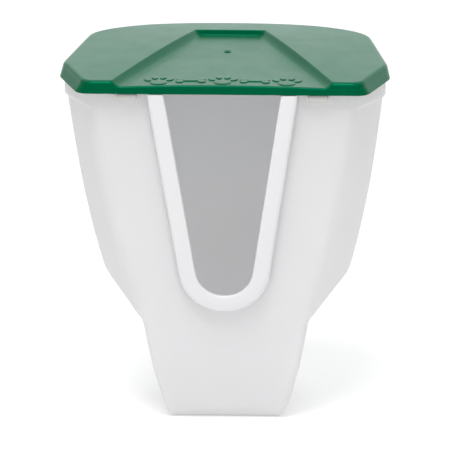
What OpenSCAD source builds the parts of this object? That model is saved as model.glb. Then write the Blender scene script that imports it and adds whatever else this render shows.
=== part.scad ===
// Waste bin for dog walkers: an open-topped white hopper on a narrow foot, with a tall
// tapered slot in its front, a push-on trim round the slot, and a green lid that swings
// up on a steel rod behind the rear rim. Millimetres, +Z up, the front faces -Y, and the
// origin is the centre of the flat underside of the foot.

/* [Hopper] */
// Height of the hopper's rim above the floor
rim_z = 363; // [320:1:440]
// Half width of the hopper's wall at the rim
hopper_half = 165; // [140:0.1:200]
// How far each side leans in per millimetre of height
side_draft = 0.125; // [0.08:0.005:0.2]
// How much further the sides have curved in near the bottom
side_curve = 10.5; // [0:0.1:20]
// Height above the foot's neck at which they have curved in by that much
side_curve_low = 52.5; // [30:0.5:80]
// Width over which the sides turn into the sloping bottom
side_turn = 5; // [2:0.5:12]
// Width of the slanted band between the front panel and each side
band_w = 29; // [18:0.5:36]
// Depth of that band for each millimetre of its width
band_ratio = 1.85; // [1.4:0.05:2.2]
// Depth of the front panel ahead of the foot's centre, at the rim
panel_front = 107.5; // [95:0.5:120]
// How far the front panel leans back per millimetre of height
panel_slope = 0.119; // [0.08:0.001:0.15]
// Depth of the back wall behind the foot's centre, at the rim
back_depth = 97; // [85:0.5:108]
// How far the back wall leans in per millimetre of height
back_slope = 0.06; // [0.03:0.005:0.09]
// How far the back wall bows out between its corners
back_bow = 33; // [14:1:45]
// How far each rear corner stands in from the widest point
rear_inset = 26; // [12:1:36]
// Rounding of the hopper's upright corners beside the front panel
front_round = 12; // [6:0.5:20]
// Rounding of its widest corners
side_round = 12; // [6:0.5:20]
// Rounding of its rear corners
rear_round = 18; // [10:0.5:30]
// Wall thickness of the body
wall = 3; // [2:0.1:5]

/* [Foot] */
// Height where the hopper's sloping bottom meets the foot
neck_z = 106.5; // [90:0.5:125]
// Angle of the hopper's sloping bottom above the level
hopper_angle = 45; // [38:1:55]
// Height of the bend between the foot's upper and lower parts
bend_z = 54; // [40:1:70]
// Half width of the foot at the bend
foot_half = 75.2; // [66:0.1:88]
// How far the foot widens per millimetre above the bend
foot_flare = 0.19; // [0.1:0.01:0.26]
// How far the foot narrows per millimetre below the bend
toe_taper = 0.27; // [0.2:0.002:0.34]
// How far the front leans back per millimetre below the bend
toe_slope = 0.2; // [0.14:0.01:0.36]
// Height of the rounded edge round the underside
base_edge_h = 13; // [6:1:16]
// How far that edge rounds in
base_edge_in = 6; // [2:0.5:8]
// Thickness of the floor
floor_t = 4; // [3:0.5:8]
// Spacing of the four fixing holes in the floor, each way
fixing_spacing = 60; // [40:1:70]
// Diameter of the fixing holes
fixing_d = 6.5; // [4.5:0.1:9]

/* [Collar] */
// Height of the thickened collar below the rim
collar_h = 20; // [12:1:30]
// Height of the slope under the collar
collar_slope_h = 4; // [2:0.5:8]

/* [Slot and trim] */
// Height of the centre of the slot's round end
slot_z = 168; // [150:0.5:200]
// Radius of the trim's inside at the round end
slot_r = 29.4; // [22:0.1:36]
// Half width of the trim's inside at the rim
slot_top_half = 60; // [48:0.5:72]
// Width of the trim's front flange
trim_w = 17.5; // [10:0.5:20]
// How far the trim stands out from the front panel
trim_out = 9.2; // [5:0.1:9.6]
// Rounding of the front flange's edges, as a step
trim_step = 2.5; // [1:0.1:4]
// Thickness of the trim's web through the wall
trim_web = 2.7; // [2:0.1:4]
// Width of the trim's inside flange
trim_grip_w = 9; // [6:0.5:12]
// Thickness of the trim's inside flange
trim_grip_t = 2; // [1.5:0.1:3]
// Clearance between the trim and the body
trim_gap = 0.1; // [0.05:0.05:0.5]

/* [Lid] */
// How far the lid's front corners stand outside the front panel's
lid_corner_out = 10.6; // [6:0.1:16]
// Clearance of the lid's skirt from the collar at the sides, at the widest corners
lid_side_gap = 3.2; // [3:0.1:5]
// Distance from the front panel's rim to the lid's front edge
lid_nose = 9.5; // [9:0.5:16]
// Distance from the collar to the inside of the rear skirt
lid_tail = 7.5; // [4:0.1:10]
// Rounding of the lid's front corners
lid_front_round = 10; // [5:0.5:16]
// Rounding of its widest corners
lid_side_round = 8; // [5:0.5:16]
// Height of the skirt
skirt_h = 13; // [10:0.5:18]
// Thickness of the skirt
skirt_t = 2.2; // [1.8:0.1:3]
// Lean of the skirt from upright, in degrees
skirt_draft = 6; // [2:0.5:8]
// How far the skirt's two slanted faces lean in over its height
band_lean = 8; // [3:0.5:9]
// Thickness of the lid's plates
plate_t = 3; // [2:0.1:4]
// Rounding of the lid's top edge
lid_edge_r = 4; // [2:0.5:5]
// Rise of the lid's top towards its middle
lid_crown = 4; // [0:0.5:6]
// Depth of the sunk panel in the lid
recess_depth = 6; // [3:0.5:7]
// Distance from the lid's front corner to the sunk panel
recess_side_margin = 33; // [25:1:60]
// Half width of the sunk panel at its back
recess_back_half = 35; // [25:1:50]
// Distance from the back of the sunk panel to the lid's back edge
recess_back_margin = 39.5; // [25:0.5:60]
// How far the sunk panel's side walls spread over its depth
recess_side_run = 6; // [2:0.5:9]
// How far its back wall leans over its depth
recess_back_run = 1; // [0.5:0.5:4]
// Gap between the sunk panel's underside and the rim it rests over
lid_seat_gap = 0.5; // [0.3:0.1:1.5]
// Clearance of the locating lip inside the hopper's mouth
lip_gap = 1.8; // [1:0.1:3]
// How far the locating lip reaches below the rim
lip_depth = 5; // [3:0.5:8]
// Thickness of the locating lip and of the ribs
rib_t = 2; // [1.5:0.1:3]
// Length of each side lug below the skirt
lug_drop = 7; // [4:0.5:12]
// Length of each side lug along the lid
lug_length = 14; // [8:1:24]

/* [Hinge] */
// Diameter of the hinge rod
rod_d = 5; // [4:0.1:6]
// Radial clearance of the rod in the body's knuckles
rod_fit_body = 0.05; // [0.02:0.01:0.1]
// Radial clearance of the rod in the lid's knuckles
rod_fit_lid = 0.1; // [0.02:0.01:0.1]
// Outside radius of the knuckles
knuckle_r = 5.5; // [4.5:0.1:6.5]
// Half length of the body's middle knuckle
knuckle_mid = 12; // [8:1:20]
// Length of each lid knuckle
knuckle_lid = 25; // [15:1:35]
// Length of each outer body knuckle
knuckle_outer = 12; // [8:1:20]
// Gap between neighbouring knuckles
knuckle_gap = 0.5; // [0.3:0.1:1]
// How far the rod stands out at each end
rod_proud = 5; // [4:0.5:8]
// Thickness of the cap's wall and head
cap_t = 2.2; // [1.5:0.1:3]
// Angle to which the lid opens before its heels meet the hinge block
lid_open = 105; // [90:1:110]

/* [Catches] */
// Distance from the trim's top to each catch
catch_from_trim = 9.5; // [3:0.5:20]
// Width of each catch
catch_w = 20; // [14:1:28]
// How far each catch shows below the lid's skirt
catch_drop = 6; // [4:0.5:10]
// Diameter of the peg that holds the catch in the wall
peg_d = 6; // [4:0.5:8]
// Radial clearance of the peg
peg_fit = 0.05; // [0.02:0.01:0.1]

/* [Hidden] */
$fn = 48;

white = "whitesmoke";
green = [0.06, 0.43, 0.29];
steel = "silver";
round_fn = 96;
thin = 0.01;
past = 1; // how far a cut runs past the surface it opens

tilt = atan(panel_slope);
neck_half = foot_half + foot_flare * (neck_z - bend_z);
skirt_z = rim_z - (skirt_h - recess_depth - plate_t) + lid_seat_gap;
lid_top = skirt_z + skirt_h;
lid_front_y = -panel_front - lid_nose;
lid_front_half = hopper_half - band_w + lid_corner_out;
lid_back_y = back_depth + lid_tail + skirt_t;
hinge_out = 1.1; // from the lid's back edge to its knuckles
hinge_drop = 2; // from the bottom of the skirt down to the rod's centre
block_out = 3.5; // how far the hinge block stands out from the back wall
hinge_y = lid_back_y + hinge_out + knuckle_r;
hinge_z = skirt_z - hinge_drop;
hinge_face_y = back_depth + block_out;
knuckle_reach = knuckle_mid + knuckle_gap + knuckle_lid + knuckle_gap + knuckle_outer;
heel_gap = 0.3;
arm_gap = 0.5; // between the lid's arms and the top of the hinge block
trim_clear = 0.7; // between the trim's top and the bottom of the skirt
peg_up = 3; // height of the catch's peg above the catch's lower edge
catch_z = skirt_z - catch_drop;
catch_x = slot_top_half + trim_w + catch_from_trim + catch_w / 2;

// ---- Section of the body at a height ----

function clamp01(t) = min(max(t, 0), 1);
function ease(t) = let (s = clamp01(t)) s * s * (3 - 2 * s);
function mix(a, b, t) = a + (b - a) * t;
function soft_min(a, b, k) = min(a, b) - pow(max(k - abs(a - b), 0), 2) / (4 * k);

// Side wall of the hopper without its sloping bottom
side_power = 3.2; // how late the sides' inward curve sets in
function side_x(z) = let (u = max(rim_z - z, 0), full = rim_z - neck_z - side_curve_low)
    hopper_half - side_draft * u - side_curve * pow(u / full, side_power);
// Half width of the foot
function foot_x(z) = z > bend_z ? foot_half + foot_flare * (z - bend_z)
                                : foot_half - toe_taper * (bend_z - z);
// Half width of the whole body, hopper or foot
function wide_x(z) = z < neck_z ? foot_x(z)
    : max(foot_x(z), soft_min(side_x(z), neck_half + (z - neck_z) / tan(hopper_angle), side_turn));
// Half width of the front panel, kept inside the foot's corner
function panel_x(z) = max(side_x(z) - band_w, foot_x(z) - 2);
function front_y(z) = let (bend_y = -panel_front + panel_slope * (rim_z - bend_z))
    z > bend_z ? -panel_front + panel_slope * (rim_z - z) : bend_y + toe_slope * (bend_z - z);
function back_y(z) = z > bend_z ? back_depth - back_slope * (rim_z - z)
    : back_depth - back_slope * (rim_z - bend_z) - 3 * back_slope * (bend_z - z);
function base_in(z) = base_edge_in * pow(1 - min(z / base_edge_h, 1), 2);

foot_rear_inset = 3;
foot_back_bow = 12;
spread_h = 110; // height over which the foot's section turns into the hopper's
band_min = 12; // least depth of the slanted band
// Corners of the right half of the section, from the front's middle to the back's.
// drop takes the side from a lower height, so a sloping bottom keeps its wall's thickness.
function body_corners(z, drop = 0) =
    let (px = panel_x(z),
         wx = max(wide_x(z - drop), foot_x(z)),
         fy = front_y(z),
         by = back_y(z),
         full = ease((z - neck_z) / spread_h),
         rx = wx - mix(foot_rear_inset, rear_inset, full),
         bow = mix(foot_back_bow, back_bow, full))
    [[0, fy], [px, fy], [wx, fy + max(band_min, band_ratio * (wx - px))], [rx, by - bow],
     [rx / 2, by], [0, by]];

// ---- Outlines from corners ----

function unit(v) = v / norm(v);
function left_normal(a, b) = let (u = unit(b - a)) [-u.y, u.x];
// Moves the edges of a half outline inwards, all by d or each by its own item of d
function step_in(d, i) = is_num(d) ? d : d[i];
function inset(c, d) = let (
    last = len(c) - 1,
    moved = [for (i = [1 : last - 1])
        let (m = left_normal(c[i - 1], c[i]), n = left_normal(c[i], c[i + 1]), k = m * n,
             a = step_in(d, i - 1), b = step_in(d, i))
        c[i] + (a * (m - k * n) + b * (n - k * m)) / (1 - k * k)])
    concat([[0, moved[0].y]], moved, [[0, moved[last - 2].y]]);
// Parabolic arc round corner b, from ta before it to tc after it
function arc_round(a, b, c, ta, tc, n) =
    let (p = b + ta * unit(a - b), q = b + tc * unit(c - b))
    [for (i = [0 : n]) let (s = i / n) (1 - s) * (1 - s) * p + 2 * s * (1 - s) * b + s * s * q];
// Right half outline: three rounded corners and a bowed back
function half_outline(c, r1, r2, r3) = let (bow_len = norm(c[4] - c[3]),
    r1_max = min(r1, 0.45 * norm(c[2] - c[1])),
    r2_max = min(r2, 0.45 * norm(c[2] - c[1])))
    concat(arc_round(c[0], c[1], c[2], r1_max, r1_max, 4),
           arc_round(c[1], c[2], c[3], r2_max, r2_max, 4),
           arc_round(c[2], c[3], c[4], r3, 0.4 * bow_len, 5),
           arc_round(c[3], c[4], c[5], 0.5 * bow_len, c[4].x, 6));
// Whole outline, with the left half mirrored
function whole(h) = concat(h, [for (i = [len(h) - 2 : -1 : 0]) [-h[i].x, h[i].y]]);
function at_z(o, z) = [for (p = o) [p.x, p.y, z]];

function body_outline(z, d, drop = 0) =
    whole(half_outline(inset(body_corners(z, drop), d), front_round, side_round, rear_round));
function body_ring(z, d, drop = 0) = at_z(body_outline(z, d, drop), z);

// Solid through a stack of rings, closed by its first and last ring
module loft(rings) {
    n = len(rings[0]);
    last = len(rings) - 1;
    points = [for (r = rings) for (p = r) p];
    sides = [for (k = [0 : last - 1]) for (i = [0 : n - 1])
        let (j = (i + 1) % n)
        [k * n + i, (k + 1) * n + i, (k + 1) * n + j, k * n + j]];
    halves = [for (s = sides) each [[s[0], s[1], s[2]], [s[0], s[2], s[3]]]];
    polyhedron(points, concat(halves, [[for (i = [0 : n - 1]) i]],
                              [[for (i = [n - 1 : -1 : 0]) last * n + i]]));
}

// ---- Body ----

hopper_steps = 15;
collar_z = rim_z - collar_h;
base_heights = [0, base_edge_h * 0.25, base_edge_h * 0.6, base_edge_h];
hopper_heights = [for (i = [0 : hopper_steps])
    neck_z + (collar_z - collar_slope_h - neck_z) * pow(i / hopper_steps, 1.5)];

module body_outside() {
    foot = [for (z = base_heights) body_ring(z, base_in(z))];
    bend = [for (z = [bend_z, hopper_heights[0]]) body_ring(z, 0)];
    hopper = [for (i = [1 : hopper_steps]) body_ring(hopper_heights[i], 0)];
    collar = [for (z = [collar_z, rim_z]) at_z(collar_outline(z), z)];
    loft(concat(foot, bend, hopper, collar));
}

// The collar keeps the rim's width all the way down, and leaves the front panel flat
function collar_outline(z) = let (c = body_corners(z), r = body_corners(rim_z))
    whole(half_outline([c[0], c[1], r[2], r[3], r[4], r[5]], front_round, side_round, rear_round));

module body_inside() {
    drop = 0.41 * wall;
    low = [floor_t, base_edge_h * 0.6 + floor_t, base_edge_h + floor_t];
    foot = [for (z = low) body_ring(z, wall + base_in(z - floor_t))];
    upper = [for (z = concat([bend_z], hopper_heights, [rim_z + past])) body_ring(z, wall, drop)];
    loft(concat(foot, upper));
}

// Places its children on the front panel: local Y runs up it, local Z out of it
module on_panel() {
    translate([0, front_y(slot_z), slot_z])
        rotate([90 + tilt, 0, 0])
            children();
}

// Slot outline grown by g: a round end whose tangents spread to the rim
slot_rise = (rim_z - slot_z) / cos(tilt);
slot_lean = atan2(slot_top_half, slot_rise) - asin(slot_r / norm([slot_top_half, slot_rise]));
module slot_outline(g, extra = 0) {
    r = slot_r + g;
    t = r * [cos(slot_lean), -sin(slot_lean)];
    top_y = slot_rise + extra;
    top_x = slot_top_half + g / cos(slot_lean) + extra * tan(slot_lean);
    circle(r);
    polygon([[-t.x, t.y], [t.x, t.y], [top_x, top_y], [-top_x, top_y]]);
}

module slot_cut() {
    depth = 30;
    on_panel()
        translate([0, 0, -depth])
            linear_extrude(2 * depth)
                slot_outline(trim_web + trim_gap, 8);
}

module across(x0, x1, r) {
    translate([x0, hinge_y, hinge_z])
        rotate([0, 90, 0])
            cylinder(h = x1 - x0, r = r, $fn = round_fn);
}

// A body knuckle on its arm from the hinge block
module body_knuckle(x0, x1) {
    across(x0, x1, knuckle_r);
    translate([x0, hinge_face_y - past, hinge_z - knuckle_r])
        cube([x1 - x0, hinge_y - hinge_face_y + past, knuckle_r]);
}

module hinge_block() {
    block_h = 18;
    start_y = back_depth - 10;
    translate([-knuckle_reach, start_y, hinge_z - arm_gap - block_h])
        cube([2 * knuckle_reach, hinge_face_y - start_y, block_h]);
}

module peg_place(side) {
    on_panel()
        translate([side * catch_x, (catch_z + peg_up - slot_z) / cos(tilt), 0])
            children();
}

module body_shell() {
    outer0 = knuckle_reach - knuckle_outer;
    color(white)
    difference() {
        union() {
            body_outside();
            hinge_block();
            body_knuckle(-knuckle_mid, knuckle_mid);
            body_knuckle(outer0, knuckle_reach);
            body_knuckle(-knuckle_reach, -outer0);
        }
        body_inside();
        slot_cut();
        across(-knuckle_reach - past, knuckle_reach + past, rod_d / 2 + rod_fit_body);
        for (x = [-1, 1], y = [-1, 1])
            translate([x * fixing_spacing / 2, y * fixing_spacing / 2, -past])
                cylinder(h = floor_t + 2 * past, d = fixing_d, $fn = round_fn);
        for (side = [-1, 1])
            peg_place(side)
                translate([0, 0, -3 * wall])
                    cylinder(h = 4 * wall, d = peg_d + 2 * peg_fit, $fn = round_fn);
    }
}

// ---- Trim round the slot ----

// Ring between two growths of the slot's outline, from height z0 to z1 over the panel
module trim_ring(g0, g1, z0, z1) {
    translate([0, 0, z0])
        linear_extrude(z1 - z0)
            difference() {
                slot_outline(g1);
                slot_outline(g0, 20);
            }
}

module opening_trim() {
    skin = wall * cos(tilt);
    grip_z = -skin - trim_gap;
    top_z = skirt_z - trim_clear;
    color(white)
    difference() {
        on_panel() {
            trim_ring(0, trim_w, trim_gap, trim_out - trim_step);
            trim_ring(trim_step, trim_w - trim_step, trim_out - trim_step - thin, trim_out);
            trim_ring(0, trim_web, grip_z - trim_grip_t, trim_gap + thin);
            trim_ring(0, trim_grip_w, grip_z - trim_grip_t, grip_z);
        }
        translate([-200, -200, top_z])
            cube([400, 200, 50]);
    }
}

// ---- Lid ----

lid_side = hopper_half + skirt_t + lid_side_gap;
lean = tan(skirt_draft);
plan_mid = (lid_front_y + lid_back_y) / 2;
// Corners of the lid's outline at the bottom of its skirt
function lid_corners() = let (b = body_corners(rim_z),
    side = -skirt_t - lid_side_gap,
    back = -skirt_t - lid_tail,
    w = inset(b, [-lid_nose, 0, side, back, back]))
    [w[0], [lid_front_half, lid_front_y], [lid_side, b[2].y], w[3], w[4], w[5]];
// Outline of the skirt at a height above its bottom, moved inwards by d
function lid_outline(up, d) = let (a = lean * up + d, b = band_lean * up / skirt_h + d)
    whole(half_outline(inset(lid_corners(), [a, b, a, a, a]),
                       lid_front_round, lid_side_round, rear_round));
function shrink(o, k) = [for (p = o) [p.x * k, (p.y - plan_mid) * k + plan_mid]];

module lid_outside() {
    edge_up = skirt_h - lid_edge_r;
    edge = [for (i = [0 : 3]) let (a = i * 30)
        at_z(lid_outline(edge_up, lid_edge_r * (1 - cos(a))),
             skirt_z + edge_up + lid_edge_r * sin(a))];
    flat_edge = lid_outline(edge_up, lid_edge_r);
    crown = [for (k = [0.8, 0.55, 0.3, 0.1])
        at_z(shrink(flat_edge, k), lid_top + lid_crown * (1 - k * k))];
    loft(concat([at_z(lid_outline(0, 0), skirt_z)], edge, crown));
}

module lid_inside() {
    fillet = 2;
    under_up = skirt_h - plate_t;
    loft([at_z(lid_outline(-past, skirt_t), skirt_z - past),
          at_z(lid_outline(under_up - fillet, skirt_t), skirt_z + under_up - fillet),
          at_z(lid_outline(under_up - fillet, skirt_t + fillet), skirt_z + under_up)]);
}

// The sunk panel, open to the front, grown by g on its floor and walls
module recess(g) {
    front_half = lid_front_half - recess_side_margin + g;
    back_half = recess_back_half + g;
    y0 = lid_front_y - 10;
    y1 = lid_back_y - recess_back_margin + g;
    above = 8;
    // outline spread from the panel's upper edge by k times each wall's run
    function plan(k) = let (side = k * recess_side_run, y = y1 + k * recess_back_run)
        [[front_half + side, y0], [back_half + side, y],
         [-back_half - side, y], [-front_half - side, y0]];
    loft([at_z(plan(-1 - g / recess_depth), lid_top - recess_depth - g),
          at_z(plan(above / recess_depth), lid_top + above)]);
}

// Locating lip inside the hopper's mouth, at the sides and the back
module lid_lip() {
    low = rim_z - lip_depth;
    front_end = -40;
    intersection() {
        translate([0, 0, low])
            linear_extrude(lid_top - plate_t + thin - low)
                difference() {
                    polygon(body_outline(rim_z, wall + lip_gap));
                    polygon(body_outline(rim_z, wall + lip_gap + rib_t));
                }
        translate([-200, front_end, 0])
            cube([400, 300, 500]);
    }
}

module lid_ribs() {
    rib_h = 5;
    rib_len = 90;
    for (side = [-1, 1], x = [88, 118])
        translate([side * x - rib_t / 2, -20 - (x - 88) * 0.6, lid_top - plate_t - rib_h])
            cube([rib_t, rib_len - (x - 88), rib_h + thin]);
}

// The lug that hangs from the skirt behind the right-hand widest corner
module side_lug() {
    corner = lid_corners()[2];
    rear = lid_corners()[3];
    behind = 18;
    set_in = 0.5;
    translate([corner.x, corner.y, skirt_z - lug_drop])
        rotate([0, 0, atan2(corner.x - rear.x, rear.y - corner.y)])
            translate([-skirt_t, behind, 0])
                cube([skirt_t - set_in, lug_length, lug_drop + 3]);
}

// A lid knuckle on its arm, with the heel that stops the lid when it is open
module lid_knuckle(x0, x1) {
    arm_start = back_depth + 1.6;
    heel_h = 6;
    across(x0, x1, knuckle_r);
    translate([x0, arm_start, hinge_z])
        cube([x1 - x0, hinge_y - arm_start, knuckle_r]);
    translate([0, hinge_y, hinge_z])
        rotate([lid_open, 0, 0])
            translate([x0, -(hinge_y - hinge_face_y - heel_gap), -heel_h])
                cube([x1 - x0, hinge_y - hinge_face_y - heel_gap - rod_d / 2 - 1, heel_h]);
}

module lid_shell() {
    k0 = knuckle_mid + knuckle_gap;
    k1 = k0 + knuckle_lid;
    color(green)
    difference() {
        union() {
            difference() {
                lid_outside();
                recess(0);
                difference() {
                    lid_inside();
                    recess(plate_t);
                }
            }
            lid_lip();
            lid_ribs();
            side_lug();
            mirror([1, 0, 0])
                side_lug();
            lid_knuckle(k0, k1);
            lid_knuckle(-k1, -k0);
        }
        across(-k1 - past, k1 + past, rod_d / 2 + rod_fit_lid);
    }
}

// ---- Hinge rod and its caps ----

module hinge_rod() {
    end = knuckle_reach + rod_proud;
    color(steel)
        across(-end, end, rod_d / 2);
}

module rod_cap(side) {
    start = knuckle_reach + knuckle_gap;
    end = knuckle_reach + rod_proud + cap_t;
    color(white)
    mirror([side < 0 ? 1 : 0, 0, 0])
        difference() {
            across(start, end, rod_d / 2 + cap_t);
            across(start - past, end - cap_t + 0.1, rod_d / 2 + rod_fit_body);
        }
}

// ---- Catches under the lid's front edge ----

module front_catch(side) {
    toe = 2; // how far the catch stands back from the lid's front edge
    front = lid_front_y + toe;
    rear = front_y(catch_z) - trim_gap;
    behind = lid_front_y + skirt_t + 0.6;
    tall = rim_z - 1 - catch_z;
    color(white) {
        difference() {
            union() {
                translate([side * catch_x - catch_w / 2, front, catch_z])
                    cube([catch_w, rear - front + 2, catch_drop - 0.6]);
                translate([side * catch_x - catch_w / 2, behind, catch_z])
                    cube([catch_w, rear - behind + 2, tall]);
            }
            on_panel()
                translate([-200, 0, trim_gap - 20])
                    cube([400, 260, 20]);
        }
        peg_place(side)
            translate([0, 0, -wall])
                cylinder(h = wall + 2, d = peg_d, $fn = round_fn);
    }
}

body_shell();
opening_trim();
lid_shell();
hinge_rod();
rod_cap(-1);  // rod_cap_left
rod_cap(1);  // rod_cap_right
front_catch(-1);  // front_catch_left
front_catch(1);  // front_catch_right
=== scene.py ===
"""Looks of the waste bin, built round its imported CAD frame. Lengths below are millimetres."""
import math

import bpy
import numpy as np
from mathutils import Vector, Matrix, geometry


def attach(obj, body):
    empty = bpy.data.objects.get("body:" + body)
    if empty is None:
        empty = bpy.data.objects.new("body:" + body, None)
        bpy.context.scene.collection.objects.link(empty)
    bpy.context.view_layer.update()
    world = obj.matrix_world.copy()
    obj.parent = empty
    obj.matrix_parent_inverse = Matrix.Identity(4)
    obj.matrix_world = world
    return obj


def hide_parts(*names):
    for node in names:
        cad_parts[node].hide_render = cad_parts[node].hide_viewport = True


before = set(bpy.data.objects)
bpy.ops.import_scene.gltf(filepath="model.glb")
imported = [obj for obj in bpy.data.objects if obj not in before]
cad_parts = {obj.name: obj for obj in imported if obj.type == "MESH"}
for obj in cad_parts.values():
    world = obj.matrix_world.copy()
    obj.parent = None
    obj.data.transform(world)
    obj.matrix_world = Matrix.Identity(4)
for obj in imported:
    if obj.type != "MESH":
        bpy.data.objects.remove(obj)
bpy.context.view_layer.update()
SCENE = bpy.context.scene
MM = 0.001

# ---------------------------------------------------------------- sizes shared with the CAD
RIM, HOP, DRAFT, CURVE, CURVE_LEN, TURN = 363.0, 165.0, 0.125, 10.5, 204.0, 5.0
BAND_W, BAND_RATIO, PANEL, SLOPE = 29.0, 1.85, 107.5, 0.119
BACK, BACK_SLOPE, BOW, REAR_IN, WALL = 97.0, 0.06, 33.0, 26.0, 3.0
NECK, BEND, FOOT, FLARE, TAPER, TOE = 106.5, 54.0, 75.2, 0.19, 0.27, 0.2
EDGE_H, EDGE_IN, FLOOR = 13.0, 6.0, 4.0
COLLAR, COLLAR_SLOPE = 343.0, 4.0
SLOT_Z, SLOT_R, SLOT_TOP = 168.0, 29.4, 60.0
TILT = math.atan(SLOPE)
SKIRT_Z, SKIRT_H, SKIRT_T, PLATE = 359.5, 13.0, 2.2, 3.0
LID_TOP = SKIRT_Z + SKIRT_H
LID_FRONT, SIDE_GAP, TAIL = -117.0, 1.6, 4.5  # gap and tail are a little tighter than the CAD's
HINGE_Y, HINGE_Z, HINGE_FACE = 113.3, 357.5, 100.5
HINGE_AT = (0, HINGE_Y, HINGE_Z)
KNUCKLE_R, ROD_R, ROD_HALF, ROD_FIT = 5.5, 2.5, 55, 2.55
CATCH_X, CATCH_HALF = 97.0, 10.0
RIM_R, INNER_DROP = 0.9, 1.23
LID_OPEN = 105
TRIM_OUT, TRIM_W, TRIM_WEB, GRIP_W = 9.2, 17.5, 5.6, 9.6
NECK_HALF = FOOT + FLARE * (NECK - BEND)


def lerp(a, b, t):
    return a + (b - a) * t


def ease(t):
    t = min(max(t, 0.0), 1.0)
    return t * t * (3 - 2 * t)


def soft_min(a, b, k):
    return min(a, b) - max(k - abs(a - b), 0.0) ** 2 / (4 * k)


def soft_max(a, b, k):
    return -soft_min(-a, -b, k)


# ---------------------------------------------------------------- section of the body
def side_x(z):
    u = max(RIM - z, 0.0)
    return HOP - DRAFT * u - CURVE * (u / CURVE_LEN) ** 3.2


def foot_x(z):
    return FOOT + FLARE * (z - BEND) if z > BEND else FOOT - TAPER * (BEND - z)


def wide_x(z):
    if z < NECK - 8:
        return foot_x(z)
    slope = NECK_HALF + (z - NECK)
    return soft_max(foot_x(z), soft_min(side_x(z), slope, TURN), 3.0)


def front_y(z):
    bend_y = -PANEL + SLOPE * (RIM - BEND)
    return soft_max(-PANEL + SLOPE * (RIM - z), bend_y + TOE * (BEND - z), 1.2)


def back_y(z):
    bend_y = BACK - BACK_SLOPE * (RIM - BEND)
    return soft_min(BACK - BACK_SLOPE * (RIM - z), bend_y - 3 * BACK_SLOPE * (BEND - z), 1.0)


def base_in(z):
    return EDGE_IN * (1 - min(z / EDGE_H, 1.0)) ** 2


def corners(z, drop=0.0):
    wx = max(wide_x(z - drop), foot_x(z))
    px = soft_max(side_x(z) - BAND_W, foot_x(z) - 2, 4.0)
    fy, by = front_y(z), back_y(z)
    full = ease((z - NECK) / 110)
    rx, bow = wx - lerp(3, REAR_IN, full), lerp(12, BOW, full)
    return [(0, fy), (px, fy), (wx, fy + max(12, BAND_RATIO * (wx - px))), (rx, by - bow), (rx / 2, by), (0, by)]


def vec(p):
    return np.array(p, float)


def unit(v):
    return v / np.linalg.norm(v)


def left_normal(a, b):
    u = unit(vec(b) - vec(a))
    return np.array([-u[1], u[0]])


def inset(c, d):
    d = [d] * 5 if np.isscalar(d) else d
    moved = []
    for i in range(1, 5):
        m, n = left_normal(c[i - 1], c[i]), left_normal(c[i], c[i + 1])
        k = float(m @ n)
        moved.append(vec(c[i]) + (d[i - 1] * (m - k * n) + d[i] * (n - k * m)) / (1 - k * k))
    return [(0, moved[0][1])] + [tuple(p) for p in moved] + [(0, moved[-1][1])]


def arc(a, b, c, ta, tc, n):
    a, b, c = vec(a), vec(b), vec(c)
    p, q = b + ta * unit(a - b), b + tc * unit(c - b)
    return [tuple((1 - s) ** 2 * p + 2 * s * (1 - s) * b + s * s * q) for s in np.linspace(0, 1, n)]


def line(a, b, n):
    """Points strictly between a and b."""
    return [tuple(lerp(vec(a), vec(b), s)) for s in np.linspace(0, 1, n + 2)[1:-1]]


def half_outline(c, radii, steps):
    """steps: points on the front, arc 1, band, arc 2, side, arc 3, back arc."""
    bow = np.linalg.norm(vec(c[4]) - vec(c[3]))
    reach = 0.45 * np.linalg.norm(vec(c[2]) - vec(c[1]))
    r1, r2 = min(radii[0], reach), min(radii[1], reach)
    a1 = arc(c[0], c[1], c[2], r1, r1, steps[1])
    a2 = arc(c[1], c[2], c[3], r2, r2, steps[3])
    a3 = arc(c[2], c[3], c[4], radii[2], 0.4 * bow, steps[5])
    a4 = arc(c[3], c[4], c[5], 0.5 * bow, c[4][0], steps[6])
    return ([tuple(c[0])] + line(c[0], a1[0], steps[0]) + a1 + line(a1[-1], a2[0], steps[2]) + a2
            + line(a2[-1], a3[0], steps[4]) + a3 + line(a3[-1], a4[0], 2) + a4)


def whole(h):
    return h + [(-x, y) for x, y in reversed(h[1:-1])]


def at_z(o, z):
    return [(x, y, z) for x, y in o]


# ---------------------------------------------------------------- mesh helpers
def loft(rings, closed=True):
    n = len(rings[0])
    verts = [p for r in rings for p in r]
    faces = []
    for k in range(len(rings) - 1):
        for i in range(n):
            j = (i + 1) % n
            faces.append((k * n + i, k * n + j, (k + 1) * n + j, (k + 1) * n + i))
    if closed:
        faces.append(tuple(reversed(range(n))))
        faces.append(tuple((len(rings) - 1) * n + i for i in range(n)))
    return verts, faces


def flip(part):
    return part[0], [tuple(reversed(f)) for f in part[1]]


def make(name, verts, faces):
    me = bpy.data.meshes.new(name)
    me.from_pydata([(x * MM, y * MM, z * MM) for x, y, z in verts], [], faces)
    me.validate()
    o = bpy.data.objects.new(name, me)
    SCENE.collection.objects.link(o)
    return o


def merged(name, parts):
    verts, faces = [], []
    for v, f in parts:
        n = len(verts)
        verts += list(v)
        faces += [tuple(i + n for i in q) for q in f]
    return make(name, verts, faces)


def boolean(target, tool, operation="DIFFERENCE"):
    mod = target.modifiers.new("cut", "BOOLEAN")
    mod.object, mod.operation, mod.solver = tool, operation, "MANIFOLD"
    dg = bpy.context.evaluated_depsgraph_get()
    me = bpy.data.meshes.new_from_object(target.evaluated_get(dg))
    target.modifiers.clear()
    old = target.data
    target.data = me
    bpy.data.meshes.remove(old)
    used = tool.data
    bpy.data.objects.remove(tool)
    bpy.data.meshes.remove(used)


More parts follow.
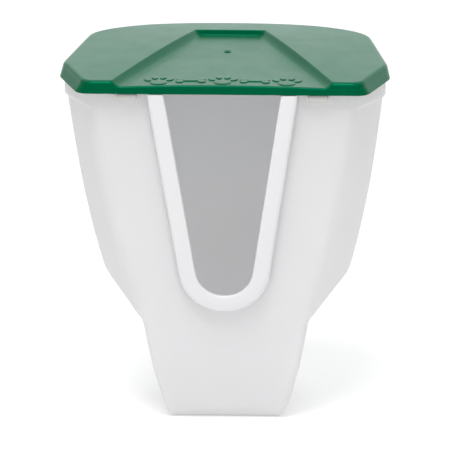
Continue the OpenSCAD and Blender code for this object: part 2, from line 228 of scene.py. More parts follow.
def finish_piece(o, material, body, slot, *nodes, sharp=35):
    me = o.data
    me.materials.clear()
    me.materials.append(material)
    me.polygons.foreach_set("use_smooth", [True] * len(me.polygons))
    me.set_sharp_from_angle(angle=math.radians(sharp))
    me.update()
    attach(o, body)
    if nodes:
        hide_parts(*nodes)
    return o


def lathe(profile, x_axis=True, centre=(0, 0, 0), n=64):
    """Profile of (along, radius) turned round X or Z; ends closed."""
    rings = []
    for t, r in profile:
        ring = []
        for i in range(n):
            a = 2 * math.pi * i / n
            c, s = r * math.cos(a), r * math.sin(a)
            p = (t, c, s) if x_axis else (c, s, t)
            ring.append(tuple(vec(centre) + vec(p)))
        rings.append(ring)
    return loft(rings)


def slab(x0, x1, y0, y1, z0, z1, r=0.6, n=3):
    """Box with rounded edges, as stacked rounded rectangles."""
    rings = []
    hx, hy, cx, cy = (x1 - x0) / 2, (y1 - y0) / 2, (x0 + x1) / 2, (y0 + y1) / 2
    levels = [(z0 + r * (1 - math.cos(a)), r * (1 - math.sin(a))) for a in np.linspace(0, math.pi / 2, n + 1)]
    levels += [(z1 - r * (1 - math.cos(a)), r * (1 - math.sin(a))) for a in np.linspace(math.pi / 2, 0, n + 1)]
    for z, d in levels:
        ring = []
        for q, (sx, sy) in enumerate(((1, -1), (1, 1), (-1, 1), (-1, -1))):
            for a in np.linspace(0, math.pi / 2, n + 2):
                t = a + (q - 1) * math.pi / 2
                rr = r * 1.4 - min(d, r) * 0.9
                ring.append((cx + sx * (hx - d - rr) + rr * math.cos(t), cy + sy * (hy - d - rr) + rr * math.sin(t), z))
        rings.append(ring)
    return loft(rings)


# ---------------------------------------------------------------- materials
def ramp(nt, fac, stops):
    r = nt.nodes.new("ShaderNodeValToRGB")
    e = r.color_ramp.elements
    e[0].position, e[0].color = stops[0][0], (*stops[0][1], 1)
    e[1].position, e[1].color = stops[-1][0], (*stops[-1][1], 1)
    for pos, col in stops[1:-1]:
        e.new(pos).color = (*col, 1)
    nt.links.new(fac, r.inputs["Fac"])
    return r.outputs["Color"]


def noise(nt, scale, detail=3.0, rough=0.5, stretch=(1, 1, 1)):
    tc = nt.nodes.new("ShaderNodeTexCoord")
    mp = nt.nodes.new("ShaderNodeMapping")
    mp.inputs["Scale"].default_value = stretch
    nt.links.new(tc.outputs["Object"], mp.inputs["Vector"])
    nz = nt.nodes.new("ShaderNodeTexNoise")
    nz.inputs["Scale"].default_value = scale
    nz.inputs["Detail"].default_value = detail
    nz.inputs["Roughness"].default_value = rough
    nt.links.new(mp.outputs["Vector"], nz.inputs["Vector"])
    return nz.outputs["Fac"]


def mix_colour(nt, fac, a, b, mode="MIX"):
    m = nt.nodes.new("ShaderNodeMix")
    m.data_type, m.blend_type = "RGBA", mode
    for value, socket in ((fac, m.inputs[0]), (a, m.inputs[6]), (b, m.inputs[7])):
        if isinstance(value, (int, float)):
            socket.default_value = value
        elif isinstance(value, tuple):
            socket.default_value = (*value, 1)
        else:
            nt.links.new(value, socket)
    return m.outputs[2]


def remap(nt, value, lo, hi, a, b):
    m = nt.nodes.new("ShaderNodeMapRange")
    m.clamp = True
    for name, v in (("From Min", lo), ("From Max", hi), ("To Min", a), ("To Max", b)):
        m.inputs[name].default_value = v
    nt.links.new(value, m.inputs["Value"])
    return m.outputs["Result"]


def bump(nt, height, strength, distance, normal=None):
    b = nt.nodes.new("ShaderNodeBump")
    b.inputs["Strength"].default_value = strength
    b.inputs["Distance"].default_value = distance
    nt.links.new(height, b.inputs["Height"])
    if normal is not None:
        nt.links.new(normal, b.inputs["Normal"])
    return b.outputs["Normal"]


def plastic(name, base, deep, rough, grain=700, grain_depth=0.00006, specular=0.5, scuffs=0.35, sheen_spread=0.05,
            tint=None, glow=0.0):
    mat = bpy.data.materials.new(name)
    mat.use_nodes = True
    nt = mat.node_tree
    bsdf = nt.nodes["Principled BSDF"]
    cloud = noise(nt, 9, 4, 0.55)
    flow = noise(nt, 26, 5, 0.6, (1, 1, 0.25))
    colour = ramp(nt, cloud, [(0.3, deep), (0.7, base)])
    colour = mix_colour(nt, remap(nt, flow, 0.35, 0.75, 0.0, 0.25), colour, tuple(c * 0.93 for c in base))
    marks = noise(nt, 120, 2, 0.4, (1, 0.12, 1.2))
    colour = mix_colour(nt, remap(nt, marks, 0.70, 0.80, 0.0, scuffs), colour, tuple(lerp(c, 0.7, 0.2) for c in base))
    nt.links.new(colour, bsdf.inputs["Base Color"])
    wear = remap(nt, noise(nt, 40, 4, 0.6), 0.3, 0.7, rough - sheen_spread, rough + sheen_spread)
    nt.links.new(wear, bsdf.inputs["Roughness"])
    bsdf.inputs["Specular IOR Level"].default_value = specular
    bsdf.inputs["IOR"].default_value = 1.5
    if tint:
        bsdf.inputs["Specular Tint"].default_value = (*tint, 1)
    fine = bump(nt, noise(nt, grain, 2, 0.5), 0.5, grain_depth)
    wavy = bump(nt, noise(nt, 14, 2, 0.4), 0.25, 0.0006, fine)
    nt.links.new(wavy, bsdf.inputs["Normal"])
    if glow:
        through = nt.nodes.new("ShaderNodeBsdfTranslucent")
        through.inputs["Color"].default_value = (*[c ** 0.12 for c in base], 1)
        both = nt.nodes.new("ShaderNodeMixShader")
        both.inputs[0].default_value = glow
        nt.links.new(bsdf.outputs[0], both.inputs[1])
        nt.links.new(through.outputs[0], both.inputs[2])
        nt.links.new(both.outputs[0], nt.nodes["Material Output"].inputs["Surface"])
    return mat


def metal(name):
    mat = bpy.data.materials.new(name)
    mat.use_nodes = True
    nt = mat.node_tree
    bsdf = nt.nodes["Principled BSDF"]
    drawn = noise(nt, 300, 4, 0.6, (0.05, 1, 1))
    nt.links.new(ramp(nt, drawn, [(0.3, (0.42, 0.43, 0.44)), (0.7, (0.62, 0.62, 0.62))]), bsdf.inputs["Base Color"])
    nt.links.new(remap(nt, drawn, 0.3, 0.7, 0.22, 0.38), bsdf.inputs["Roughness"])
    bsdf.inputs["Metallic"].default_value = 1.0
    nt.links.new(bump(nt, drawn, 0.3, 0.00008), bsdf.inputs["Normal"])
    return mat


WHITE = plastic("body_white_plastic", (0.885, 0.875, 0.885), (0.87, 0.86, 0.87), 0.46, scuffs=0.1, glow=0.38)
TRIM = plastic("trim_white_plastic", (0.73, 0.725, 0.735), (0.715, 0.71, 0.725), 0.34, grain=900, scuffs=0.1)
# Clips and rod caps are white plastic. Their grey base colour is painted shade, standing in for the shade under the
# lid's front edge where the clip tabs show.
CLIP_GREY_PAINTED_SHADE = plastic("clip_white_plastic_painted_shade_grey", (0.52, 0.52, 0.50), (0.50, 0.50, 0.48), 0.4, scuffs=0.15)
GREEN = plastic("lid_green_plastic", (0.0, 0.080, 0.031), (0.0, 0.075, 0.029), 0.30, grain=800, specular=0.5,
                scuffs=0.006, sheen_spread=0.03, tint=(0.0, 0.5, 0.3))
STEEL = metal("hinge_drawn_steel")

# ---------------------------------------------------------------- body
BODY_STEPS = (14, 11, 10, 11, 14, 13, 16)
BODY_R = (12, 12, 18)


def body_ring(z, d, drop=0.0, at=None):
    return at_z(whole(half_outline(inset(corners(z, drop), d), BODY_R, BODY_STEPS)), z if at is None else at)


def collar_ring(z, d=0.0):
    c, r = corners(z), corners(RIM)
    held = [c[0], c[1], r[2], r[3], r[4], r[5]]
    return at_z(whole(half_outline(inset(held, d) if d else held, BODY_R, BODY_STEPS)), z)


def body_heights():
    foot = [BEND + t for t in (-38, -32, -26, -20, -14, -9, -5, -2.5, -1, 0, 1, 2.5, 5, 9, 14, 20, 27, 34, 41)]
    low = [NECK - 8 + 1.0 * i for i in range(20)]
    high = list(np.linspace(NECK + 14, COLLAR - COLLAR_SLOPE, 62))
    return foot + low + high


def build_body():
    base = list(EDGE_H * (1 - np.cos(np.linspace(0, math.pi / 2, 10))))
    rings = [body_ring(z, base_in(z)) for z in base]
    rings += [body_ring(z, 0) for z in body_heights()]
    under, over = [(x, y) for x, y, _ in rings[-1]], collar_ring(COLLAR)
    for t in (0.2, 0.4, 0.6, 0.8):
        k = ease(t)
        z = lerp(COLLAR - COLLAR_SLOPE, COLLAR, t)
        rings.append([(lerp(u[0], o[0], k), lerp(u[1], o[1], k), z) for u, o in zip(under, over)])
    rim_angles = (0.5, 1.0, math.pi / 2)
    rings += [collar_ring(z) for z in np.linspace(COLLAR, RIM - RIM_R, 8)]
    rings += [collar_ring(RIM - RIM_R * (1 - math.sin(a)), RIM_R * (1 - math.cos(a))) for a in rim_angles]
    body = make("bin_body", *loft(rings))
    low = [FLOOR + t for t in (0, 0.6, 1.6, 3.2, 5.5, 8.5, 12.0)]
    inner = [body_ring(z, WALL + base_in(z - FLOOR)) for z in low]
    inner += [body_ring(z, WALL, INNER_DROP) for z in body_heights()]
    inner += [body_ring(z, WALL, INNER_DROP) for z in (COLLAR, 350, 357, RIM - RIM_R)]
    for a in rim_angles:
        inner.append(body_ring(RIM - RIM_R + RIM_R * math.sin(a), WALL - RIM_R * (1 - math.cos(a)), INNER_DROP))
    inner.append([(x, y, RIM + 4) for x, y, _ in inner[-1]])
    block = merged("block", [slab(-50, 50, BACK - 9, HINGE_FACE, HINGE_Z - 18.5, HINGE_Z - 0.5, 0.8)])
    boolean(body, block, "UNION")
    for x0, x1 in ((-12, 12), (38, 50), (-50, -38)):
        eye = [(x0, KNUCKLE_R - 0.6), (x0 + 0.6, KNUCKLE_R), (x1 - 0.6, KNUCKLE_R), (x1, KNUCKLE_R - 0.6)]
        boolean(body, make("eye", *lathe(eye, centre=HINGE_AT)), "UNION")
        arm = slab(x0, x1, HINGE_FACE - 1.5, HINGE_Y, HINGE_Z - KNUCKLE_R, HINGE_Z - 0.05, 0.3)
        boolean(body, make("arm", *arm), "UNION")
    boolean(body, make("hollow", *loft(inner)))
    boolean(body, make("slot_cut", *slot_prism(TRIM_WEB + 0.1)))
    boolean(body, make("bore", *lathe([(-ROD_HALF, ROD_FIT), (ROD_HALF, ROD_FIT)], centre=HINGE_AT)))
    for x in (-30, 30):
        for y in (-30, 30):
            boolean(body, make("hole", *lathe([(-2, 4.4), (-0.3, 3.95), (0.8, 3.25), (8, 3.25)], False, (x, y, 0))))
    for side in (-1, 1):
        boolean(body, make("peg_hole", *peg(side, 3.05, -9, 3)))
    return finish_piece(body, WHITE, "root", "body_white", "body_shell", sharp=32)


# ---------------------------------------------------------------- slot, trim and catches
RISE = (RIM - SLOT_Z) / math.cos(TILT)
LEAN = math.atan2(SLOT_TOP, RISE) - math.asin(SLOT_R / math.hypot(SLOT_TOP, RISE))


def panel_point(x, y, z):
    """Local place on the front panel: y up it, z out of it."""
    return (x, front_y_flat(SLOT_Z) - y * math.sin(TILT) - z * math.cos(TILT),
            SLOT_Z + y * math.cos(TILT) - z * math.sin(TILT))


def front_y_flat(z):
    return -PANEL + SLOPE * (RIM - z)


def slot_path(g, top, n_line=44, n_arc=48):
    """Right side down, round the end and up the left side, at g outside the slot."""
    r = SLOT_R + g
    tx, ty = r * math.cos(LEAN), -r * math.sin(LEAN)
    right = [(lerp(tx + (top - ty) * math.tan(LEAN), tx, s), lerp(top, ty, s)) for s in np.linspace(0, 1, n_line)[:-1]]
    bottom = [(r * math.cos(a), r * math.sin(a)) for a in np.linspace(-LEAN, -math.pi + LEAN, n_arc)]
    return right + bottom + [(-x, y) for x, y in reversed(right)]


def slot_prism(g):
    outline = slot_path(g, RISE + 12)
    front = [panel_point(x, y, 30) for x, y in outline]
    back = [panel_point(x, y, -30) for x, y in outline]
    return loft([front, back])


def peg(side, r, z0, z1):
    cx, cy = side * CATCH_X, (SKIRT_Z - 3 - SLOT_Z) / math.cos(TILT)
    circle = [(cx + r * math.cos(a), cy + r * math.sin(a)) for a in np.linspace(0, 2 * math.pi, 49)[:-1]]
    return loft([[panel_point(x, y, z) for x, y in circle] for z in (z0, z1)])


def build_trim():
    """Band round the slot, its section undercut behind a rounded front edge, with a web and grip behind."""
    out, w, bore, lip, outer = TRIM_OUT, TRIM_W, 4.2, 2.2, 4.0
    grip_z = -WALL * math.cos(TILT) - 0.1
    low = grip_z - 2.0
    quarter = math.pi / 2
    prof = [(bore + 0.2, low), (bore, low + 0.3), (bore, 0), (bore, out - 4.6), (bore - 0.6, out - 3.6)]
    prof += [(0.5, out - 3.2), (0, out - 2.6), (0, out - lip)]
    prof += [(lip * (1 - math.cos(a)), out - lip + lip * math.sin(a)) for a in np.linspace(0, quarter, 8)[1:]]
    prof += [(lerp(lip, w - outer, t), out + 0.25 * math.sin(math.pi * t)) for t in np.linspace(0, 1, 7)[1:-1]]
    prof += [(w - outer + outer * math.sin(a), out - outer + outer * math.cos(a)) for a in np.linspace(0, quarter, 10)]
    prof += [(w, 0.5), (w - 0.4, 0.1), (TRIM_WEB, 0.1), (TRIM_WEB, grip_z), (GRIP_W - 0.3, grip_z)]
    prof += [(GRIP_W, grip_z - 0.3), (GRIP_W, low + 0.5), (GRIP_W - 0.5, low)]
    top_z = SKIRT_Z - 0.7
    columns = []
    for g, z in prof:
        top = (top_z - SLOT_Z + z * math.sin(TILT)) / math.cos(TILT)
        columns.append([panel_point(x, y, z) for x, y in slot_path(g, top)])
    rings = [[c[k] for c in columns] for k in range(len(columns[0]))]
    trim = make("slot_trim", *flip(loft(rings)))
    return finish_piece(trim, TRIM, "root", "trim_white", "opening_trim", sharp=40)


def build_catch(side):
    """Tab with rounded lower corners under the lid's front edge, and the peg that holds it."""
    z0, h, half, corner = SKIRT_Z - 7.5, 6.8, CATCH_HALF, 2.6
    y_front, y_back = -115.0, front_y_flat(z0) - 0.15
    cx = side * CATCH_X
    outline = []
    for sx in (1, -1):
        pts = [(sx * (half - 0.7), z0 + h), (sx * half, z0 + h - 0.7)]
        for a in np.linspace(0, math.pi / 2, 8):
            pts.append((sx * (half - corner + corner * math.cos(a)), z0 + corner - corner * math.sin(a)))
        outline += pts if sx == 1 else list(reversed(pts))
    rings = []
    mid = (cx, z0 + h / 2)
    for y, d in ((y_front, 0.8), (y_front + 0.25, 0.3), (y_front + 0.8, 0.0), (y_back, 0.0)):
        ring = []
        for x, z in outline:
            k = 1 - d / half
            zz = mid[1] + (z - mid[1]) * (1 - d / (h / 2))
            back = y if y < y_back else front_y_flat(zz) - 0.15
            ring.append((cx + x * k, back, zz))
        rings.append(ring)
    stem = slab(cx - half, cx + half, -113.9, -107.9, z0 + 1.5, RIM - 1.2, 0.5)
    parts = [flip(loft(rings)), stem, peg(side, 2.95, -3, 1.5)]
    name = "catch_right" if side > 0 else "catch_left"
    node = "front_catch_right" if side > 0 else "front_catch_left"
    # The tab takes the clip material, whose grey is painted shade from under the lid.
    return finish_piece(merged(name, parts), CLIP_GREY_PAINTED_SHADE, "root", "clip_white", node, sharp=40)


# ---------------------------------------------------------------- lid
LID_STEPS = (92, 13, 44, 12, 60, 16, 30)
LID_R = (10, 8, 18)
BAND_LEAN, SIDE_LEAN = 8.0, math.tan(math.radians(6))
RECESS_FRONT, RECESS_BACK, RECESS_Y, RECESS_DEPTH = 113.6, 35.5, 67.2, 6.0


def lid_corners():
    b = corners(RIM)
    side, back = -SKIRT_T - SIDE_GAP, -SKIRT_T - TAIL
    w = inset(b, [-9.5, 0, side, back, back])
    return [w[0], (146.6, LID_FRONT), (HOP + SKIRT_T + SIDE_GAP, b[2][1]), w[3], w[4], w[5]]


LID_CORNERS = lid_corners()


def lid_outline(up, d):
    a = SIDE_LEAN * up + d
    b = BAND_LEAN * up / SKIRT_H + d
    return whole(half_outline(inset(LID_CORNERS, [a, b, a, a, a]), LID_R, LID_STEPS))


def profile(s, slope, depth, k_top, k_foot):
    return min(soft_min(soft_max(slope * s, 0.0, k_top), depth, k_foot), depth)


def recess_share(x, y, g=0.0):
    """How much of the sunk panel's depth applies at a place, 0 outside it and 1 on its floor."""
    e = vec((RECESS_BACK - RECESS_FRONT, RECESS_Y - LID_FRONT))
    n = vec((-e[1], e[0])) / np.linalg.norm(e)
    s_side = (abs(x) - RECESS_FRONT) * n[0] + (y - LID_FRONT) * n[1] + g
    s_back = RECESS_Y - y + g
    side = profile(s_side, 1.15, RECESS_DEPTH, 1.0, 4.5) / RECESS_DEPTH
    back = profile(s_back, 3.6, RECESS_DEPTH, 1.6, 3.0) / RECESS_DEPTH
    return min(side, 1.0) * min(back, 1.0)


def lid_height(x, y, g=0.0):
    crown = 4.0 * max(0, 1 - (x / 168) ** 2) * max(0, 1 - ((y + 5) / 113) ** 2)
    top = LID_TOP + crown - g
    floor = LID_TOP - RECESS_DEPTH + 2.4 * (1 - (x / RECESS_FRONT) ** 2) + 0.004 * (y - LID_FRONT) - g
    return lerp(top, min(floor, top), recess_share(x, y, g))


def recess_lines():
    """Places along the sunk panel's edge, at distances into and out of it."""
    pts = []
    e = vec((RECESS_BACK - RECESS_FRONT, RECESS_Y - LID_FRONT))
    length = np.linalg.norm(e)
    u, n = e / length, vec((-e[1], e[0])) / length
    for s in (-4, -2.6, -1.6, -1.0, -0.6, -0.3, 0, 0.3, 0.6, 1.0, 1.5, 2.1, 2.8, 3.6, 4.4, 5.2, 6.0, 6.9, 7.9,
              9.0, 10.5, 12.5):
        for t in np.arange(0, length + 3, 1.5):
            p = vec((RECESS_FRONT, LID_FRONT)) + u * t + n * s
            for sx in (1, -1):
                if s <= 0 or p[1] < RECESS_Y - 0.25 * s:
                    pts.append((sx * p[0], p[1]))
    for s in (-3, -2, -1.3, -0.8, -0.4, -0.15, 0.1, 0.35, 0.6, 0.85, 1.1, 1.4, 1.7, 2.0, 2.4, 3.0, 4.0):
        for x in np.arange(-RECESS_BACK - 2, RECESS_BACK + 2.1, 1.2):
            pts.append((x + 0.013 * s, RECESS_Y - s))
    return pts


def inside(poly, pts):
    poly, pts = np.array(poly), np.array(pts)
    x, y = pts[:, 0], pts[:, 1]
    hit = np.zeros(len(pts), bool)
    a, b = poly, np.roll(poly, -1, 0)
    for (x0, y0), (x1, y1) in zip(a, b):
        if y0 == y1:
            continue
        cross = ((y0 > y) != (y1 > y)) & (x < (x1 - x0) * (y - y0) / (y1 - y0) + x0)
        hit ^= cross
    return hit


def lid_skin(d0, g, edge_r, low_z):
    """One side of the lid's shell: skirt rings, a rounded top edge and the top with its sunk panel."""
    rings = []
    share = [recess_share(x, y, g) for x, y in lid_outline(SKIRT_H - edge_r, d0 + edge_r)]
    radius = [lerp(edge_r, edge_r * 0.55, s) for s in share]
    height = [lid_height(x, y, g) for x, y in lid_outline(SKIRT_H - edge_r, d0 + edge_r)]
    for t in (0.0, 0.04, 0.12, 0.28, 0.45, 0.62, 0.8, 1.0):
        ring = []
        ups = lerp(low_z - SKIRT_Z, SKIRT_H - edge_r, t)
        flat = lid_outline(ups, d0 + (0.45 if t == 0 and g == 0 else 0))
        for (x, y), h, r in zip(flat, height, radius):
            z = lerp(low_z, h - r, t)
            ring.append((x, y, z))
        rings.append(ring)
    for a in np.linspace(0, math.pi / 2, 9)[1:]:
        ring = []
        out = lid_outline(SKIRT_H - edge_r, d0 + edge_r * (1 - math.cos(a)))
        tight = lid_outline(SKIRT_H - edge_r, d0 + 0.55 * edge_r * (1 - math.cos(a)))
        for (x, y), (xt, yt), s, r in zip(out, tight, share, radius):
            px, py = lerp(x, xt, s), lerp(y, yt, s)
            ring.append((px, py, lid_height(px, py, g) - r * (1 - math.sin(a))))
        rings.append(ring)
    verts, faces = loft(rings, closed=False)
    n = len(rings[0])
    edge = [(x, y) for x, y, _ in rings[-1]]
    first = len(verts) - n
    grid = [(x + (0.7 if j % 2 else 0), y)
            for j, y in enumerate(np.arange(-112, 106, 2.6)) for x in np.arange(-165.6, 166, 2.6)]
    cand = recess_lines() + [p for p in grid if not (0.02 < recess_share(*p) < 0.985)]
    mid = vec((0, -10))
    slim = [tuple(mid + (vec(p) - mid) * 0.992) for p in edge]
    ok = inside(slim, cand)
    pts = [p for p, k in zip(cand, ok) if k]
    coords = [Vector(p) for p in edge + pts]
    cv, _, cf, orig, _, _ = geometry.delaunay_2d_cdt(coords, [], [list(range(n))], 1, 1e-4)
    index = {}
    for i, p in enumerate(cv):
        ring_id = [k for k in orig[i] if k < n]
        if ring_id:
            index[i] = first + ring_id[0]
        else:
            index[i] = len(verts)
            verts.append((p.x, p.y, lid_height(p.x, p.y, g)))
    for f in cf:
        tri = tuple(index[i] for i in f)
        a, b, c = (vec(verts[i][:2]) for i in tri)
        area = (b[0] - a[0]) * (c[1] - a[1]) - (b[1] - a[1]) * (c[0] - a[0])
        faces.append(tri if area > 0 else tuple(reversed(tri)))
    return verts, faces, n


def lid_shell():
    ov, of, n = lid_skin(0.0, 0.0, 4.4, SKIRT_Z)
    iv, inf, _ = lid_skin(SKIRT_T, PLATE - 0.4, 1.6, SKIRT_Z)
    base = len(ov)
    verts = ov + iv
    faces = of + [tuple(i + base for i in reversed(f)) for f in inf]
    for i in range(n):
        j = (i + 1) % n
        faces.append((j, i, base + i, base + j))
    return verts, faces


def strip_wall(outline_out, outline_in, z0, z1):
    """Upright wall between two open outlines."""
    lines = [at_z(outline_out, z0), at_z(outline_out, z1), at_z(outline_in, z1), at_z(outline_in, z0)]
    return loft([[points[k] for points in lines] for k in range(len(outline_out))])


def lid_extras():
    parts = []
    lip_out = whole(half_outline(inset(corners(RIM), WALL + 1.8), BODY_R, BODY_STEPS))
    lip_in = whole(half_outline(inset(corners(RIM), WALL + 3.8), BODY_R, BODY_STEPS))
    keep = [k for k, p in enumerate(lip_out) if p[1] > -38]
    lip_out, lip_in = [lip_out[k] for k in keep], [lip_in[k] for k in keep]
    parts.append(flip(strip_wall(lip_out, lip_in, RIM - 5, LID_TOP - 3.2)))
    for side in (-1, 1):
        for x in (88, 118):
            y0 = -20 - (x - 88) * 0.6
            parts.append(slab(side * x - 1, side * x + 1, y0, y0 + 90 - (x - 88), LID_TOP - 8, LID_TOP - 2, 0.4))
    c, r = vec(LID_CORNERS[2]), vec(LID_CORNERS[3])
    u = unit(r - c)
    nrm = vec((-u[1], u[0]))
    for side in (-1, 1):
        v, f = slab(0.5, 2.2, 18, 32, SKIRT_Z - 7, SKIRT_Z + 2.5, 0.35)
        placed = [(side * (c + u * y + nrm * x)[0], (c + u * y + nrm * x)[1], z) for x, y, z in v]
        parts.append((placed, f if side < 0 else [tuple(reversed(q)) for q in f]))
    return parts


def lid_knuckles():
    parts = []
    reach = HINGE_Y - HINGE_FACE - 0.3
    for side in (-1, 1):
        x0, x1 = sorted((side * 12.5, side * 37.5))
        end, full = KNUCKLE_R - 0.6, KNUCKLE_R
        tube = [(x0, 2.6), (x0, end), (x0 + 0.6, full), (x1 - 0.6, full), (x1, end), (x1, 2.6)]
        n, last = 64, len(tube) - 1
        turn = np.linspace(0, 2 * math.pi, n + 1)[:-1]
        rings = [[(t, HINGE_Y + r * math.cos(a), HINGE_Z + r * math.sin(a)) for a in turn] for t, r in tube]
        v, f = loft(rings, closed=False)
        f += [(last * n + i, last * n + (i + 1) % n, (i + 1) % n, i) for i in range(n)]
        parts.append((v, f))
        parts.append(slab(x0, x1, BACK + 1.8, HINGE_Y - 2.7, HINGE_Z + 0.05, HINGE_Z + 5.5, 0.3))
        hv, hf = slab(x0, x1, -reach, -3.4, -6.0, -0.05, 0.3)
        c, s = math.cos(math.radians(LID_OPEN)), math.sin(math.radians(LID_OPEN))
        hv = [(x, HINGE_Y + y * c - z * s, HINGE_Z + y * s + z * c) for x, y, z in hv]
        parts.append((hv, hf))
    return parts


def build_lid():
    shell = make("bin_lid", *lid_shell())
    finish_piece(shell, GREEN, "lid", "lid_green", "lid_shell", sharp=38)
    extras = merged("lid_under_parts", lid_extras())
    finish_piece(extras, GREEN, "lid", "lid_green", sharp=38)
    knuckles = merged("lid_knuckles", lid_knuckles())
    finish_piece(knuckles, GREEN, "lid", "lid_green", sharp=38)


# ---------------------------------------------------------------- relief on the lid
def dome(cx, cy, rx, ry, turn=0.0, high=0.9, n=28):
    """Low pad with rounded shoulders that follows the sunk panel's floor."""
    rings = []
    for t, z in ((1.0, -0.8), (1.0, 0.25), (0.97, 0.55), (0.90, 0.82), (0.78, 0.96), (0.5, 1.02), (0.2, 1.04)):
        ring = []
        for i in range(n):
            a = 2 * math.pi * i / n
            x, y = rx * t * math.cos(a), ry * t * math.sin(a)
            px = cx + x * math.cos(turn) - y * math.sin(turn)
            py = cy + x * math.sin(turn) + y * math.cos(turn)
            ring.append((px, py, lid_height(px, py) + high * z))
        rings.append(ring)
    return loft(rings)


def paw(cx, cy, k=1.0):
    parts = [dome(cx, cy - 4.5 * k, 7.0 * k, 6.2 * k)]
    for x, y, turn in ((-9.0, 3.4, 0.5), (-3.4, 8.6, 0.18), (3.4, 8.6, -0.18), (9.0, 3.4, -0.5)):
        parts.append(dome(cx + x * k, cy + y * k, 2.6 * k, 4.2 * k, turn))
    return parts


def bone(cx, cy, k=1.0):
    ends = [(sx * 10 * k, sy * 3.1 * k) for sx in (-1, 1) for sy in (-1, 1)]
    return [dome(cx, cy, 10.5 * k, 2.4 * k)] + [dome(cx + x, cy + y, 3.9 * k, 3.9 * k) for x, y in ends]


def build_relief():
    parts = []
    for i, x in enumerate((-65, -32.5, 0, 32.5, 65)):
        parts += paw(x, -98.5, 1.28) if i % 2 == 0 else bone(x, -98, 1.12)
    o = merged("lid_relief", parts)
    finish_piece(o, GREEN, "lid", "lid_green", sharp=60)
    place = (0, 6, lid_height(0, 6))
    mark = [lathe([(-0.8, 1.3), (0.5, 1.3), (0.75, 0.9), (0.8, 0.3)], False, place, 32)]
    mark += [torus(3.4, 0.55, place)]
    finish_piece(merged("lid_gate_mark", mark), GREEN, "lid", "lid_green", sharp=60)


def torus(reach, r, centre, n=48, m=12):
    verts, faces = [], []
    for i in range(n):
        a, j = 2 * math.pi * i / n, (i + 1) % n
        for b in np.linspace(0, 2 * math.pi, m + 1)[:-1]:
            out = reach + r * math.cos(b)
            verts.append((centre[0] + out * math.cos(a), centre[1] + out * math.sin(a), centre[2] + r * math.sin(b)))
        faces += [(i * m + k, j * m + k, j * m + (k + 1) % m, i * m + (k + 1) % m) for k in range(m)]
    return verts, faces


# ---------------------------------------------------------------- rod and caps
def build_hinge():
    shape = [(-ROD_HALF, 2.0), (0.5 - ROD_HALF, ROD_R), (ROD_HALF - 0.5, ROD_R), (ROD_HALF, 2.0)]
    rod = make("rod", *lathe(shape, centre=HINGE_AT))
    finish_piece(rod, STEEL, "root", "hinge_steel", "hinge_rod", sharp=30)
    for side in (-1, 1):
        prof = [(50.5, ROD_FIT), (50.5, 4.3), (50.9, 4.7)]
        prof += [(56.2 + math.sin(a), 3.7 + math.cos(a)) for a in np.linspace(0, math.pi / 2, 6)]
        prof += [(57.25, 1.5), (57.3, 0.15)]
        outer = lathe([(side * t, r) for t, r in prof], centre=HINGE_AT)
        cap = make("cap_right" if side > 0 else "cap_left", *(outer if side > 0 else flip(outer)))
        bore = [(side * 49, ROD_FIT), (side * (ROD_HALF + 0.1), ROD_FIT)][::side]
        boolean(cap, make("bore", *lathe(bore, centre=HINGE_AT)))
        finish_piece(cap, CLIP_GREY_PAINTED_SHADE, "root", "clip_white", "rod_cap_right" if side > 0 else "rod_cap_left", sharp=40)


build_body()
build_trim()
for side in (-1, 1):
    build_catch(side)
build_lid()
build_relief()
build_hinge()

# ---------------------------------------------------------------- floor, light and camera
def plain(name, colour, rough):
    mat = bpy.data.materials.new(name)
    mat.use_nodes = True
    nt = mat.node_tree
    bsdf = nt.nodes["Principled BSDF"]
    stops = [(0.3, tuple(c * 0.995 for c in colour)), (0.7, colour)]
    nt.links.new(ramp(nt, noise(nt, 3, 2), stops), bsdf.inputs["Base Color"])
    bsdf.inputs["Roughness"].default_value = rough
    bsdf.inputs["Specular IOR Level"].default_value = 0.1
    return mat


floor = make("studio_floor", *lathe([(-6, 9000), (-0.4, 9000)], False, (0, 0, 0), 96))
paint = plain("studio_floor_paint", (0.66, 0.66, 0.66), 0.9)
shine = paint.node_tree.nodes["Principled BSDF"]
shine.inputs["Emission Color"].default_value = (1, 1, 1, 1)
shine.inputs["Emission Strength"].default_value = 0.34
floor.data.materials.append(paint)

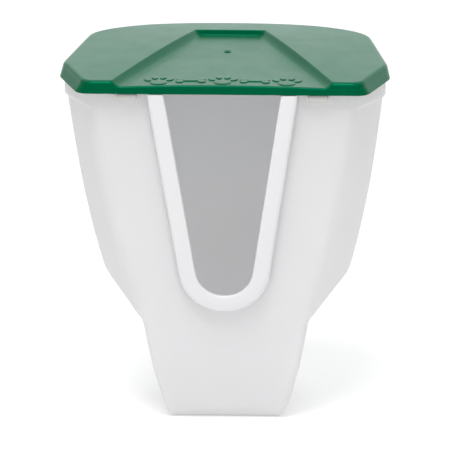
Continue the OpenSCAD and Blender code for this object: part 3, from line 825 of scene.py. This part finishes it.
world = bpy.data.worlds.new("studio")
SCENE.world = world
world.use_nodes = True
sky = world.node_tree.nodes["Background"]
sky.inputs["Strength"].default_value = 1.0
wt = world.node_tree
where = wt.nodes.new("ShaderNodeTexCoord")
split = wt.nodes.new("ShaderNodeSeparateXYZ")
wt.links.new(where.outputs["Generated"], split.inputs[0])
lean = wt.nodes.new("ShaderNodeMath")
lean.operation = "MULTIPLY_ADD"
wt.links.new(split.outputs["X"], lean.inputs[0])
lean.inputs[1].default_value = 0.22
wt.links.new(split.outputs["Y"], lean.inputs[2])
behind = remap(wt, lean.outputs[0], 0.35, 0.9, 0.0, 1.0)
above = remap(wt, split.outputs["Z"], 0.05, 0.95, 0.0, 1.0)
overhead = ramp(wt, above, [(0.0, (0.35, 0.35, 0.35)), (0.5, (0.52, 0.52, 0.52)), (1.0, (1.15, 1.15, 1.15))])
wt.links.new(mix_colour(wt, behind, overhead, (1.38, 1.42, 1.455)), sky.inputs["Color"])


def softbox(name, place, aim, size, power):
    light = bpy.data.lights.new(name, "AREA")
    light.shape, light.size, light.energy = "SQUARE", size, power
    o = bpy.data.objects.new(name, light)
    o.location = place
    o.rotation_mode = "QUATERNION"
    o.rotation_quaternion = (Vector(aim) - Vector(place)).to_track_quat("-Z", "Y")
    SCENE.collection.objects.link(o)


softbox("key_softbox", (-0.2, -1.05, 2.7), (0, 0, 0.2), 1.2, 51.0)
softbox("fill_softbox", (0.5, -2.7, 1.6), (0, 0, 0.2), 1.4, 4.5)

# Angles in degrees, distance in metres, lens in millimetres, shifts as shares of the frame's width
AZ, EL, ROLL, DISTANCE, LENS = 2.75, 16.83, -0.28, 16.0, 1249.1044
SHIFT_X, SHIFT_Y = -0.0026549, 0.0037611
az, el = math.radians(AZ), math.radians(EL)
back = Vector((math.sin(az) * math.cos(el), -math.cos(az) * math.cos(el), math.sin(el)))
data = bpy.data.cameras.new("camera")
cam = bpy.data.objects.new("camera", data)
SCENE.collection.objects.link(cam)
cam.location = Vector((0, -0.020, 0.190)) + back * DISTANCE
cam.rotation_mode = "QUATERNION"
roll = Matrix.Rotation(math.radians(ROLL), 4, "Z").to_quaternion()
cam.rotation_quaternion = (-back).to_track_quat("-Z", "Y") @ roll
data.sensor_width = 36
data.lens = LENS
data.shift_x = SHIFT_X
data.shift_y = SHIFT_Y
data.clip_start, data.clip_end = 0.5, 200
SCENE.camera = cam
SCENE.view_settings.view_transform = "Standard"
